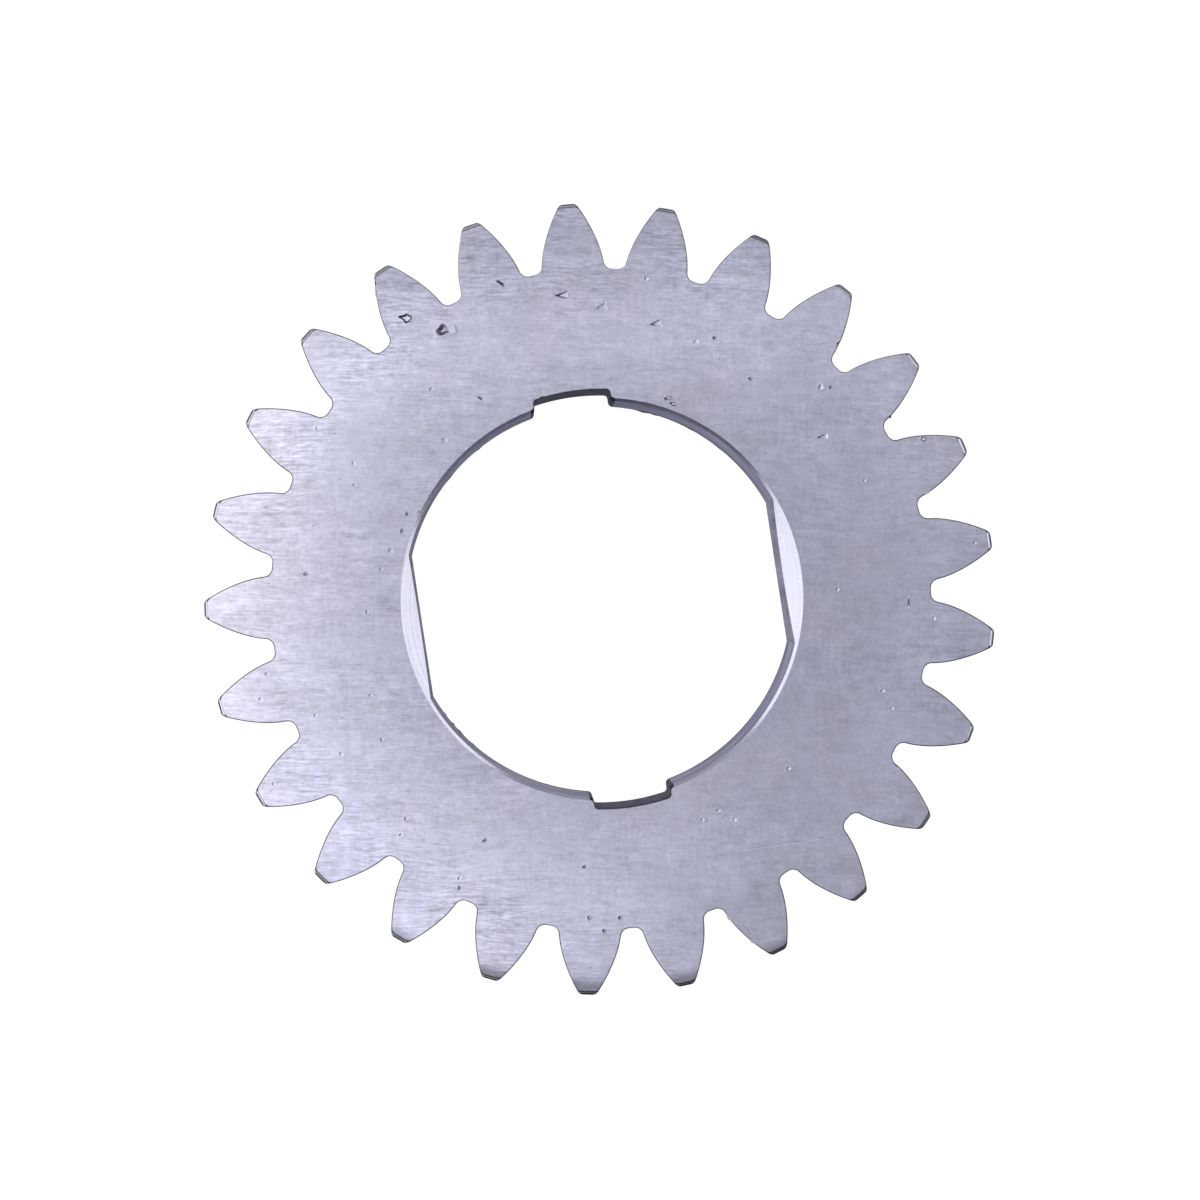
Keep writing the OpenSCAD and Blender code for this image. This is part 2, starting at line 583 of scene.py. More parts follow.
FINISHES: dict[Zone, SteelFinish] = {
    Zone.FRONT_FACE: GROUND,
    Zone.REAR_FACE: SteelFinish(
        name="ground_rear_face",
        colour=(0.62, 0.63, 0.76),
        stain=(0.66, 0.64, 0.72),
        roughness=0.43,
        marks=GROUND.marks,
        mottles=GROUND.mottles,
        pits=Pits(0.2),
        turn=0.6,
    ),
    # Painted shade: the edge rounds are coloured dark to draw their shaded outlines, and darker still away
    # from the top of the picture
    Zone.BROKEN_EDGE: SteelFinish(
        name="broken_edge",
        colour=(0.22, 0.225, 0.30),
        stain=(0.34, 0.33, 0.41),
        roughness=0.4,
        marks=(ToolMarks(Lay.STRAIGHT, 0.5, 0.5, height=0.01, contrast=0.5),),
        mottles=(Mottle(2.5, 0.8),),
        fades=(Fade(36.0, 20.0, 0.32, axis=way(80)),),
    ),
    Zone.FLANK: SteelFinish(
        name="cut_flank",
        colour=(0.36, 0.37, 0.42),
        stain=(0.40, 0.38, 0.38),
        roughness=0.36,
        marks=(ToolMarks(Lay.AXIAL, 0.5, 12.0, height=0.01, contrast=0.25),),
    ),
    Zone.CREST: SteelFinish(
        name="turned_crest",
        colour=(0.50, 0.51, 0.60),
        stain=(0.52, 0.51, 0.57),
        roughness=0.34,
        marks=(
            ToolMarks(Lay.ROUND, 0.25, 12.0, height=0.006, contrast=0.25),
            ToolMarks(Lay.STRAIGHT, 0.7, 0.7, height=0.008, contrast=0.25),
        ),
    ),
    # Painted highlight and shade: the bevel is coloured bright, and its fades leave it bright only toward the
    # right of the picture, darker toward the top, the bottom and the left
    Zone.TIP_BEVEL: SteelFinish(
        name="tip_bevel",
        colour=(0.80, 0.81, 0.94),
        stain=(0.82, 0.81, 0.92),
        roughness=0.28,
        marks=(ToolMarks(Lay.ROUND, 0.25, 8.0, height=0.004, contrast=0.2),),
        fades=(
            Fade(15.0, 42.0, 0.42, axis=way(95)),
            Fade(15.0, 42.0, 0.28, axis=way(-90)),
            Fade(10.0, 42.0, 0.68, axis=way(180)),
        ),
    ),
    Zone.LEAD_IN: SteelFinish(
        name="turned_lead_in",
        colour=(0.86, 0.865, 0.985),
        stain=(0.87, 0.86, 0.97),
        roughness=0.26,
        marks=(
            ToolMarks(Lay.ROUND, 0.18, 9.0, height=0.002, contrast=0.15),
            ToolMarks(Lay.ROUND, 0.5, 22.0, height=0.003, contrast=0.10),
        ),
        mottles=(Mottle(3.0, 0.06),),
        unevenness=0.04,
    ),
    Zone.ROUND_WALL: SteelFinish(
        name="bored_wall",
        colour=(0.40, 0.405, 0.56),
        stain=(0.44, 0.435, 0.55),
        roughness=0.45,
        marks=(
            ToolMarks(Lay.ROUND, 2.4, 9.0, height=0.01, contrast=0.8),
            ToolMarks(Lay.ROUND, 0.6, 5.0, height=0.01, contrast=0.3),
        ),
        metallic=0.5,
        grazing_tint=0.25,
        # Painted shade: the wall darkens toward the rear rim, toward the upper left and toward the top of the
        # picture
        fades=(
            Fade(2.2, 0.2, 0.5, axis=(0.0, 0.0, 1.0)),
            Fade(20.0, -22.0, 0.88, axis=way(-30)),
            Fade(12.0, 24.0, 0.80, axis=way(95)),
        ),
    ),
    Zone.DRIVE_FLAT: SteelFinish(
        name="broached_flat",
        colour=(0.40, 0.40, 0.52),
        stain=(0.43, 0.42, 0.52),
        roughness=0.42,
        marks=(
            ToolMarks(Lay.AXIAL, 1.2, 14.0, height=0.01, contrast=0.6),
            ToolMarks(Lay.STRAIGHT, 3.0, 3.0, height=0.01, contrast=0.4),
        ),
        metallic=0.5,
        grazing_tint=0.25,
        # Painted shade: the flat on the picture's left is darker than the one on the right
        fades=(Fade(22.0, -22.0, 0.7, axis=(1.0, 0.0, 0.0)),),
    ),
    # Painted shade: the notch walls are coloured dark, darker still in the notch toward the top of the
    # picture and toward the front face
    Zone.NOTCH_WALL: SteelFinish(
        name="broached_notch",
        colour=(0.11, 0.12, 0.18),
        stain=(0.15, 0.15, 0.20),
        roughness=0.45,
        marks=(ToolMarks(Lay.AXIAL, 1.0, 10.0, height=0.01, contrast=0.7),),
        metallic=0.5,
        grazing_tint=0.12,
        fades=(Fade(-25.0, 25.0, 0.4, axis=(0.0, 1.0, 0.0)), Fade(6.0, 8.6, 0.4, axis=(0.0, 0.0, 1.0))),
    ),
    # Steep walls of the dents: a dark colour that stands for dirt and painted shade in the pits
    Zone.DENT_DIRT_AND_SHADE: SteelFinish(
        name="dent_dirt_and_shade",
        colour=(0.16, 0.16, 0.21),
        stain=(0.20, 0.19, 0.24),
        roughness=0.4,
        marks=(ToolMarks(Lay.STRAIGHT, 0.4, 0.4, height=0.004, contrast=0.3),),
    ),
}


# Wear


class Spot(NamedTuple):
    """A pixel of the photograph, across from its left edge and down from its top, of 1200 by 1200."""

    across: float
    down: float


def ridge(reach: np.ndarray, middle: float, width: float) -> np.ndarray:
    """Smooth ridge, 1 high at its middle."""
    return np.exp(-(((reach - middle) / width) ** 2))


class Form(Enum):
    """Shapes of a mark in the ground face."""

    ROUND = "round"
    LOZENGE = "lozenge"
    GROOVE = "groove"
    CORNER = "corner"


@dataclass(frozen=True)
class Mark:
    """A dent, scratch or nick in the front face, round and small unless its fields say otherwise.

    Its heading is in degrees from the picture's right, against the clock, and its sizes are in millimetres. A
    depth below 0 is a burr that stands up. A bank is the steel that the mark has pushed up round itself.
    """

    spot: Spot
    heading: float = 0.0
    length: float = 0.6
    width: float = 0.44
    depth: float = 0.048
    form: Form = Form.ROUND
    bank_height: float = 0.35
    bank_end: float = 1.4
    bank_fade: float = 0.2

    def height(self, u: np.ndarray, v: np.ndarray) -> np.ndarray:
        """Height of the mark's surface over the face.

        Args:
            u: Place along the mark, from -1 to 1 inside it.
            v: Place across it, from -1 to 1 inside it.

        Returns:
            Height in millimetres.
        """
        shape = {Form.GROOVE: self.groove, Form.CORNER: self.corner}.get(self.form, self.pressed)
        pit, bank = shape(u, v)
        window = np.clip((self.bank_end - np.maximum(np.abs(u), np.abs(v))) / self.bank_fade, 0, 1)
        highest = min(abs(self.depth) * self.bank_height, HEADROOM)
        return highest * bank * window - self.depth * pit

    def groove(self, u: np.ndarray, v: np.ndarray) -> tuple[np.ndarray, np.ndarray]:
        """A scratch with two sloping sides that runs out at its ends.

        Args:
            u: Place along the mark, from -1 to 1 inside it.
            v: Place across it, from -1 to 1 inside it.

        Returns:
            Depth of the pit and height of the bank, each as a share of its most.
        """
        taper = np.sqrt(np.clip(1 - u**2, 0, 1))
        pit = np.clip(1 - np.abs(v), 0, 1) * taper
        return pit, ridge(np.abs(v), middle=1.25, width=0.25) * taper

    def corner(self, u: np.ndarray, v: np.ndarray) -> tuple[np.ndarray, np.ndarray]:
        """A dig by a sharp corner, which widens and grows shallow along its heading.

        Args:
            u: Place along the mark, from -1 to 1 inside it.
            v: Place across it, from -1 to 1 inside it.

        Returns:
            Depth of the pit and height of the bank, each as a share of its most.
        """
        side_slope, shallower, bank_share, bank_half_length = 0.25, 0.6, 0.5, 0.8
        spread = np.clip((u + 1) / 2, 0, 1)
        inside = np.clip((spread - np.abs(v)) / side_slope, 0, 1) * (np.abs(u) < 1)
        pit = inside * (1 - shallower * spread)
        bank = bank_share * ridge(u, middle=1.1, width=0.25) * np.exp(-((v / bank_half_length) ** 4))
        return pit, bank

    def pressed(self, u: np.ndarray, v: np.ndarray) -> tuple[np.ndarray, np.ndarray]:
        """A dent with an uneven outline, either round and leaning or a sloping lozenge.

        Args:
            u: Place along the mark, from -1 to 1 inside it.
            v: Place across it, from -1 to 1 inside it.

        Returns:
            Depth of the pit and height of the bank, each as a share of its most.
        """
        lobes = ((0.14, 3, 9 * self.length), (0.08, 5, 7 * self.width))
        turn = np.arctan2(v, u)
        uneven = sum(size * np.sin(count * turn + start) for size, count, start in lobes)
        if self.form is Form.LOZENGE:
            side_slope, middle_depth, tilt = 0.36, 0.85, 0.35
            reach = (np.abs(u) + np.abs(v)) * (1 + uneven)
            pit = np.clip((1 - reach) / side_slope, 0, 1) * (middle_depth - tilt * u)
        else:
            most_lean = 0.35
            reach = np.hypot(u, v) * (1 + uneven)
            lean = most_lean * np.clip(1 - reach**2, 0, 1)
            pit = np.clip(1 - (np.hypot(u + lean, v) * (1 + uneven)) ** 2, 0, 1) ** 2
        return pit, ridge(reach, middle=1.15, width=0.2)


@dataclass(frozen=True)
class EdgeNick:
    """A bite that a hard ball has pressed into an edge of the front face, with its radius in millimetres."""

    spot: Spot
    radius: float = 0.30


@dataclass(frozen=True)
class Burr:
    """A rag of steel on the bore's rear rim, with angles in degrees and its size in millimetres."""

    heading: float
    spread: float
    size: float


BURRS = (
    Burr(77.0, 1.6, 0.14),
    Burr(73.5, 1.0, 0.08),
    Burr(62.0, 0.8, 0.05),
    Burr(52.0, 0.7, 0.05),
    Burr(129.0, 1.0, 0.06),
    Burr(141.0, 1.4, 0.06),
    Burr(216.5, 0.5, 0.08),
    Burr(220.5, 0.5, 0.11),
    Burr(223.5, 0.9, 0.10),
    Burr(229.0, 0.6, 0.06),
)

MARKS = (
    Mark(Spot(406.6, 318.2), -8, 1.65, 1.2, 0.24, Form.LOZENGE),
    Mark(Spot(445.0, 329.6), 14, 2.1, 1.3, 0.30),
    Mark(Spot(672.6, 786.4), 60, 0.85, 0.8, 0.14, Form.LOZENGE),
    Mark(Spot(397.7, 323.4), 20, 0.6, 0.5, -0.03),
    Mark(Spot(500.5, 283.2), -35, 1.25, 0.24, 0.09, Form.GROOVE),
    Mark(Spot(561.5, 295.2), 4, 1.6, 1.0, 0.16, Form.CORNER),
    Mark(Spot(655.5, 323.8), 12, 1.5, 0.9, 0.11, Form.CORNER),
    Mark(Spot(822.0, 437.0), 10, 1.3, 0.7, 0.09, Form.CORNER),
    Mark(Spot(601.0, 307.5), 14, 1.3, 1.0, 0.07, Form.CORNER),
    Mark(Spot(432.0, 389.0), 21, 0.72, 0.5, 0.048),
    Mark(Spot(445.0, 440.0), -5, 0.84, 0.5, 0.048),
    Mark(Spot(354.0, 463.0), 17, 0.6, 0.63, 0.042),
    Mark(Spot(355.0, 485.0), 10, 0.6, 0.5, 0.042),
    Mark(Spot(318.0, 428.0), 30, 0.72, 0.5, 0.048),
    Mark(Spot(391.0, 551.0), -20, 0.72, 0.57, 0.048),
    Mark(Spot(381.5, 569.0), 27, 0.72, 0.44, 0.042),
    Mark(Spot(420.6, 512.5), -14, 0.72, 0.57, 0.06),
    Mark(Spot(305.0, 574.0), 37, 0.36, 0.34, 0.08),
    Mark(Spot(646.7, 278.6), 28, 0.54, 0.63, 0.06),
    Mark(Spot(696.4, 341.6), -5, 0.72, 0.5, 0.048),
    Mark(Spot(714.0, 338.0), 0, 0.36, 0.32, 0.12),
    Mark(Spot(821.2, 387.0), 31, 0.8, 0.7, 0.06),
    Mark(Spot(829.6, 387.0), 18, 0.36, 0.3, 0.11),
    Mark(Spot(865.0, 480.0), 35),
    Mark(Spot(837.7, 589.5), 7, 0.48, 0.5, 0.06),
    Mark(Spot(667.6, 397.7), 20, 0.9, 0.5, 0.09, Form.LOZENGE),
    Mark(Spot(673.0, 404.0), -20, 0.8, 0.5, 0.09, Form.LOZENGE),
    Mark(Spot(749.8, 378.8), 15, 0.4, 0.34, 0.10),
    Mark(Spot(923.2, 438.8), 19, 0.7, 0.6, 0.10, Form.LOZENGE),
    Mark(Spot(975.0, 543.0), 4, 0.6, 0.5, 0.048),
    Mark(Spot(934.5, 618.5), -18, 0.48, 0.57, 0.048),
    Mark(Spot(883.0, 690.6), 18),
    Mark(Spot(892.0, 708.4), 13),
    Mark(Spot(382.4, 739.5), 30, 0.6, 0.5, 0.054),
    Mark(Spot(341.6, 754.0), -7),
    Mark(Spot(367.5, 611.8), 5, 0.48, 0.57, 0.06),
    Mark(Spot(371.0, 695.0), 32),
    Mark(Spot(406.6, 818.6), 28, 0.72, 0.5, 0.06),
    Mark(Spot(401.5, 834.7), 21),
    Mark(Spot(460.0, 878.0), 34),
    Mark(Spot(583.8, 866.8), 39, 0.36, 0.3, 0.10),
    Mark(Spot(589.0, 918.0), 17, 0.45, 0.36, 0.10),
    Mark(Spot(603.8, 930.9), -12, 0.4, 0.34, 0.11),
    Mark(Spot(619.6, 918.0), -9, 0.4, 0.34, 0.12),
    Mark(Spot(267.6, 674.0), -5, 0.72, 0.5, 0.054),
    Mark(Spot(261.0, 699.5), -20),
    Mark(Spot(274.0, 783.7), 26),
    Mark(Spot(316.0, 715.0), 27),
    Mark(Spot(702.8, 819.4), 11, 0.6, 0.5, 0.054),
    Mark(Spot(718.6, 810.5), 6),
    Mark(Spot(735.0, 819.4), -3),
    Mark(Spot(788.8, 768.4), 10, 0.6, 0.5, 0.06),
    Mark(Spot(480.0, 398.2), -31, 0.95, 0.2, 0.05, Form.GROOVE),
    Mark(Spot(401.5, 531.0), 86, 0.8, 0.2, 0.05, Form.GROOVE),
    Mark(Spot(406.6, 514.0), 84, 0.7, 0.2, 0.05, Form.GROOVE),
    Mark(Spot(459.0, 888.0), 88, 0.8, 0.2, 0.05, Form.GROOVE),
    Mark(Spot(804.0, 325.5), 0, 6, 0.16, 0.022, Form.GROOVE),
    Mark(Spot(410.0, 748.0), 7, 4.8, 0.16, 0.022, Form.GROOVE),
    Mark(Spot(484.4, 840.6), 35, 0.9, 0.2, 0.05, Form.GROOVE),
    Mark(Spot(853.0, 710.5), -24, 5.4, 0.16, 0.022, Form.GROOVE),
    Mark(Spot(908.6, 602.0), 87, 1.6, 0.2, 0.05, Form.GROOVE),
    Mark(Spot(531.5, 910.5), 12, 6.2, 0.16, 0.022, Form.GROOVE),
    Mark(Spot(785.0, 844.0), 8, 10.5, 0.16, 0.022, Form.GROOVE),
)

NICKS = (
    EdgeNick(Spot(839.5, 345.0), 0.42),
    EdgeNick(Spot(889.5, 416.0)),
    EdgeNick(Spot(926.5, 491.0), 0.40),
    EdgeNick(Spot(898.0, 763.0), 0.45),
    EdgeNick(Spot(730.5, 916.5), 0.45),
    EdgeNick(Spot(754.0, 940.5), 0.40),
    EdgeNick(Spot(322.0, 791.5), 0.45),
    EdgeNick(Spot(543.5, 397.2)),
    EdgeNick(Spot(592.6, 388.8)),
    EdgeNick(Spot(374.0, 283.5)),
    EdgeNick(Spot(376.5, 294.0)),
)


# Objects and meshes


def linked(name: str, data: bpy.types.ID) -> bpy.types.Object:
    """Adds an object to the scene.

    Args:
        name: Name of the object.
        data: Its mesh, light or camera.

    Returns:
        The new object.
    """
    made = bpy.data.objects.new(name, data)
    bpy.context.scene.collection.objects.link(made)
    return made


@dataclass
class Shell:
    """Closed skin that is built from loops of points, quads between them and filled faces."""

    points: list[np.ndarray] = field(default_factory=list)
    faces: list[tuple[int, ...]] = field(default_factory=list)
    zones: list[int] = field(default_factory=list)
    count: int = 0
    steep: float = math.cos(math.radians(24))
    sharp_angle: float = math.radians(38)

    def add(self, points: np.ndarray) -> np.ndarray:
        """Adds points.

        Args:
            points: Their places, one row each, in millimetres.

        Returns:
            Their numbers in the skin.
        """
        self.points.append(points)
        numbers = np.arange(self.count, self.count + len(points))
        self.count += len(points)
        return numbers

    def bridge(self, above: np.ndarray, below: np.ndarray, zones: Sequence[int], outward: bool) -> None:
        """Joins two closed loops of equal length by quads.

        Args:
            above: Point numbers of the upper loop, against the clock.
            below: Point numbers of the lower loop.
            zones: Zone of each quad.
            outward: True if the quads look away from the bore axis.
        """
        after_above, after_below = np.roll(above, -1), np.roll(below, -1)
        corners = [above, below, after_below, after_above]
        if not outward:
            corners = [above, after_above, after_below, below]
        self.faces += [tuple(int(i) for i in quad) for quad in zip(*corners)]
        self.zones += [int(z) for z in zones]

    def fill(
        self,
        outer: np.ndarray,
        inner: np.ndarray,
        inside: np.ndarray,
        level: Callable[[np.ndarray], np.ndarray],
        zone: Zone,
        upward: bool,
    ) -> None:
        """Fills the ring between two closed loops with triangles.

        Args:
            outer: Point numbers of the outer loop.
            inner: Point numbers of the inner loop.
            inside: Further points between the loops, as pairs of X and Y.
            level: Height of the face at pairs of X and Y.
            zone: Zone of the triangles.
            upward: True if the triangles look along +Z.
        """
        every = np.concatenate(self.points)
        rim = np.concatenate([outer, inner])
        flat = np.concatenate([every[rim, :2], inside])
        added = self.add(np.column_stack([inside, level(inside)]))
        numbers = np.concatenate([rim, added])
        edges = closed_edges(0, len(outer)) + closed_edges(len(outer), len(inner))
        inside_only, tolerance = 1, 1e-7
        found = delaunay_2d_cdt([Vector(p) for p in flat], edges, [], inside_only, tolerance)
        places, triangles, origin = found[0], found[2], found[3]
        middles = np.array([np.mean([places[i] for i in t], axis=0) for t in triangles])
        kept = within(middles, every[outer, :2]) & ~within(middles, every[inner, :2])
        every = np.concatenate(self.points)
        for triangle, keep in zip(triangles, kept):
            if keep:
                corners = [int(numbers[origin[i][0]]) for i in triangle]
                a, b, c = every[corners]
                normal = np.cross(b - a, c - a)
                steep = abs(normal[2]) < self.steep * np.linalg.norm(normal)
                self.faces.append(tuple(corners if upward else corners[::-1]))
                # Steep triangles in the dents take the dark dent colour, dirt and painted shade in one
                self.zones.append(int(Zone.DENT_DIRT_AND_SHADE if steep else zone))

    def build(self, name: str, finishes: Mapping[Zone, SteelFinish]) -> bpy.types.Object:
        """Makes the object, smooth apart from the lines between unlike surfaces.

        Args:
            name: Name of the object.
            finishes: Finish of each zone.

        Returns:
            The new object.
        """
        mesh = bpy.data.meshes.new(name)
        mesh.from_pydata((np.concatenate(self.points) * MM).tolist(), [], self.faces)
        for zone in sorted(finishes):
            mesh.materials.append(finishes[zone].material())
        mesh.polygons.foreach_set("material_index", self.zones)
        mesh.shade_smooth()
        mesh.set_sharp_from_angle(angle=self.sharp_angle)
        self.sharpen(mesh)
        return linked(name, mesh)

    def sharpen(self, mesh: bpy.types.Mesh) -> None:
        """Marks the edges between two zones as sharp, unless a broken edge rounds them.

        Args:
            mesh: Mesh of this skin.
        """
        rounded = {int(Zone.BROKEN_EDGE), int(Zone.CREST), int(Zone.DENT_DIRT_AND_SHADE)}
        met: dict[tuple[int, int], set[int]] = {}
        for polygon in mesh.polygons:
            for key in polygon.edge_keys:
                met.setdefault(key, set()).add(polygon.material_index)
        for edge in mesh.edges:
            zones = met[tuple(sorted(edge.vertices))]
            if len(zones) > 1 and not zones & rounded:
                edge.use_edge_sharp = True


def closed_edges(start: int, length: int) -> list[tuple[int, int]]:
    """Edges of a closed loop of points that are numbered in a row."""
    return [(start + i, start + (i + 1) % length) for i in range(length)]


def within(points: np.ndarray, loop: np.ndarray) -> np.ndarray:
    """Tells which points lie inside a closed loop.

    Args:
        points: Pairs of X and Y.
        loop: Corners of the loop, in order.

    Returns:
        True for each point inside.
    """
    inside = np.zeros(len(points), bool)
    x, y = points[:, 0], points[:, 1]
    for (x0, y0), (x1, y1) in zip(loop, np.roll(loop, -1, axis=0)):
        if y0 != y1:
            crossed = (y0 > y) != (y1 > y)
            inside ^= crossed & (x < (x1 - x0) * (y - y0) / (y1 - y0) + x0)
    return inside


def polar(radius: np.ndarray, angle: np.ndarray) -> np.ndarray:
    """Pairs of X and Y at radii and angles round the bore axis."""
    return np.column_stack([radius * np.cos(angle), radius * np.sin(angle)])


def raised(flat: np.ndarray, height: Union[float, np.ndarray]) -> np.ndarray:
    """Pairs of X and Y with their height."""
    return np.column_stack([flat, np.broadcast_to(height, len(flat))])


def rear_level(flat: np.ndarray) -> np.ndarray:
    """Height of the rear face at pairs of X and Y."""
    return np.zeros(len(flat))


@dataclass(frozen=True)
class Corner:
    """A corner between two straight lines, rounded by a curve of a few steps."""

    steps: int = 3

    def arc(self, start: Sequence[float], peak: Sequence[float], end: Sequence[float]) -> np.ndarray:
        """Points of a curve that leaves along the first line and lands along the second.

        Args:
            start: Where the curve leaves the first line.
            peak: Where the two lines meet.
            end: Where the curve lands on the second line.

        Returns:
            One row for each point.
        """
        share = np.linspace(0, 1, self.steps + 1)[:, None]
        a, b, c = (np.array(p, float) for p in (start, peak, end))
        return (1 - share) ** 2 * a + 2 * share * (1 - share) * b + share**2 * c


@dataclass
class ToothRing:
    """The ring of involute teeth, from its root circle to its crests.

    Strips of its skin are numbered from each face: the face's margin, the broken edge with the bevel of the
    tips, the shelf round the tips and the rounding above the crests. The last three fields number the first
    strip past each of the last three.
    """

    tip_r: float
    thickness: float
    face_level: float
    teeth: int = 25
    pressure_angle: float = math.radians(25)
    tooth_share: float = 0.506
    dedendum: float = 1.25
    root_fillet: float = 0.3
    edge_break: float = 0.12
    tip_round: float = 0.30
    flank_steps: int = 24
    fillet_steps: int = 6
    root_steps: int = 2
    tip_steps: int = 3
    crest_steps: int = 4
    shoulder: float = 0.05
    edge_end: int = 4
    shelf_end: int = 7
    rounding_end: int = 10

    def __post_init__(self) -> None:
        """Works out the gear's circles."""
        self.module = 2 * self.tip_r / (self.teeth + 2)
        self.pitch_r = self.module * self.teeth / 2
        self.base_r = self.pitch_r * math.cos(self.pressure_angle)
        self.root_r = self.pitch_r - self.dedendum * self.module
        self.fillet_r = self.root_fillet * self.module
        self.fillet_centre_r = self.root_r + self.fillet_r
        self.pitch = 2 * math.pi / self.teeth
        self.normal_length = math.sqrt(self.fillet_centre_r**2 - self.base_r**2)

    def space_half_angle(self, radius: Union[float, np.ndarray]) -> Union[float, np.ndarray]:
        """Angle from the middle of a tooth space to its flank.

        Args:
            radius: Radius at which the angle is taken.

        Returns:
            The angle in radians.
        """
        turn = np.arccos(self.base_r / radius)
        unwound = np.tan(turn) - turn
        at_pitch = math.tan(self.pressure_angle) - self.pressure_angle
        return (1 - self.tooth_share) * self.pitch / 2 - at_pitch + unwound

    def fillet_top_r(self, inset: float) -> float:
        """Radius at which the fillet meets the flank, for an outline drawn into the steel by inset."""
        return math.hypot(self.base_r, self.normal_length - self.fillet_r - inset)

    def half_space(self, inset: float, crest_r: float) -> np.ndarray:
        """Half of a tooth space, from the middle of its root up to the crest.

        Args:
            inset: How far the outline is drawn into the steel.
            crest_r: Radius of the crest.

        Returns:
            Pairs of radius and angle from the middle of the space.
        """
        centre_angle = self.space_half_angle(self.fillet_centre_r) - self.fillet_r / self.base_r
        centre = polar(np.array([self.fillet_centre_r]), np.array([centre_angle]))[0]
        top_r = self.fillet_top_r(0.0)
        top = polar(np.array([top_r]), np.array([self.space_half_angle(top_r)]))[0] - centre
        start, end = centre_angle + math.pi, math.atan2(top[1], top[0])
        end += 2 * math.pi if end < 0 else 0.0
        turns = np.linspace(start, end, self.fillet_steps + 1)
        bend = centre + polar(np.full(self.fillet_steps + 1, self.fillet_r + inset), turns)
        fillet = np.column_stack([np.hypot(*bend.T), np.arctan2(bend[:, 1], bend[:, 0])])
        root_angles = np.linspace(0, centre_angle, self.root_steps + 1)[:-1]
        root = np.column_stack([np.full(self.root_steps, self.root_r - inset), root_angles])
        radii = np.linspace(self.fillet_top_r(inset), crest_r - self.tip_round, self.flank_steps + 1)[1:]
        flank = np.column_stack([radii, self.space_half_angle(radii) + inset / self.base_r])
        peak = (crest_r, self.space_half_angle(crest_r) + inset / self.base_r)
        end = (crest_r, peak[1] + self.tip_round / crest_r)
        tip = Corner(self.tip_steps).arc(flank[-1], peak, end)[1:]
        return np.concatenate([root, fillet, flank, tip])

    def outline(self, inset: float, crest_r: float) -> np.ndarray:
        """Closed outline of the teeth.

        Args:
            inset: How far the outline is drawn into the steel.
            crest_r: Radius of the crests.

        Returns:
            Pairs of X and Y, against the clock.
        """
        half = self.half_space(inset, crest_r)
        falling = half[:0:-1] * (1, -1)
        corner = half[-1, 1]
        crest = np.linspace(corner, self.pitch - corner, self.crest_steps + 2)[1:-1]
        one = np.concatenate([falling, half, np.column_stack([np.full(self.crest_steps, crest_r), crest])])
        loops = [polar(one[:, 0], one[:, 1] + self.pitch * (i + 0.5)) for i in range(self.teeth)]
        return np.concatenate(loops)

    def crest_columns(self) -> np.ndarray:
        """Tells which quads of a strip lie on a crest.

        Returns:
            True for each quad on a crest.
        """
        half = self.root_steps + self.fillet_steps + 1 + self.flank_steps + self.tip_steps
        one = np.zeros(2 * half - 1 + self.crest_steps, bool)
        one[2 * half - 2 :] = True
        return np.tile(one, self.teeth)

    def strip_zones(self, strip: int, face: Zone) -> tuple[Zone, Zone]:
        """Zones of one strip of the skin.

        Args:
            strip: Number of the strip, from 0 at the nearer face.
            face: Zone of that face.

        Returns:
            Zone on the flanks, and zone on the crests.
        """
        if strip == 0:
            return face, face
        flank = Zone.BROKEN_EDGE if strip < self.edge_end else Zone.FLANK
        if strip < self.shelf_end:
            return flank, Zone.TIP_BEVEL
        return flank, Zone.BROKEN_EDGE if strip < self.rounding_end else Zone.CREST

    def rim_rows(self) -> list[tuple[float, float, float]]:
        """Rows of points down from a face, to where the crests start.

        Returns:
            Inset of the flanks, radius of the crests and depth below the face, for each row.
        """
        edge = self.edge_break
        flank_corner = Corner(3).arc((edge, 0), (0, 0), (0, edge))
        # How far each row lies inside the tip circle, and below the bevel also how deep
        bevel = (0.54, 0.50, 0.43, 0.36)
        rows = [(edge + self.shoulder, self.tip_r - bevel[0] - self.shoulder, 0.0)]
        rows += [(inset, self.tip_r - back, depth) for (inset, depth), back in zip(flank_corner, bevel)]
        shelf = ((0.34, 0.124), (0.25, 0.140))
        crest_corner = Corner(3).arc((0.23, 0.146), (0.04, 0.19), (0.0, 0.50))
        return rows + [(0.0, self.tip_r - back, depth) for back, depth in (*shelf, *crest_corner)]

    def build(self, shell: Shell) -> tuple[np.ndarray, np.ndarray]:
        """Adds the skin of the teeth.

        Args:
            shell: Skin to add to.

        Returns:
            Point numbers of the loops where the front face and the rear face start.
        """
        rows = self.rim_rows()
        front = [(i, r, self.face_level - d * self.face_level / self.thickness) for i, r, d in rows]
        rear = [(i, r, d) for i, r, d in reversed(rows)]
        loops = [shell.add(raised(self.outline(i, r), z)) for i, r, z in front + rear]
        crest = self.crest_columns()
        for k in range(len(loops) - 1):
            strip = min(k, len(loops) - 2 - k)
            flank, crown = self.strip_zones(strip, Zone.FRONT_FACE if k == 0 else Zone.REAR_FACE)
            shell.bridge(loops[k], loops[k + 1], np.where(crest, int(crown), int(flank)), outward=True)
        return loops[0], loops[-1]


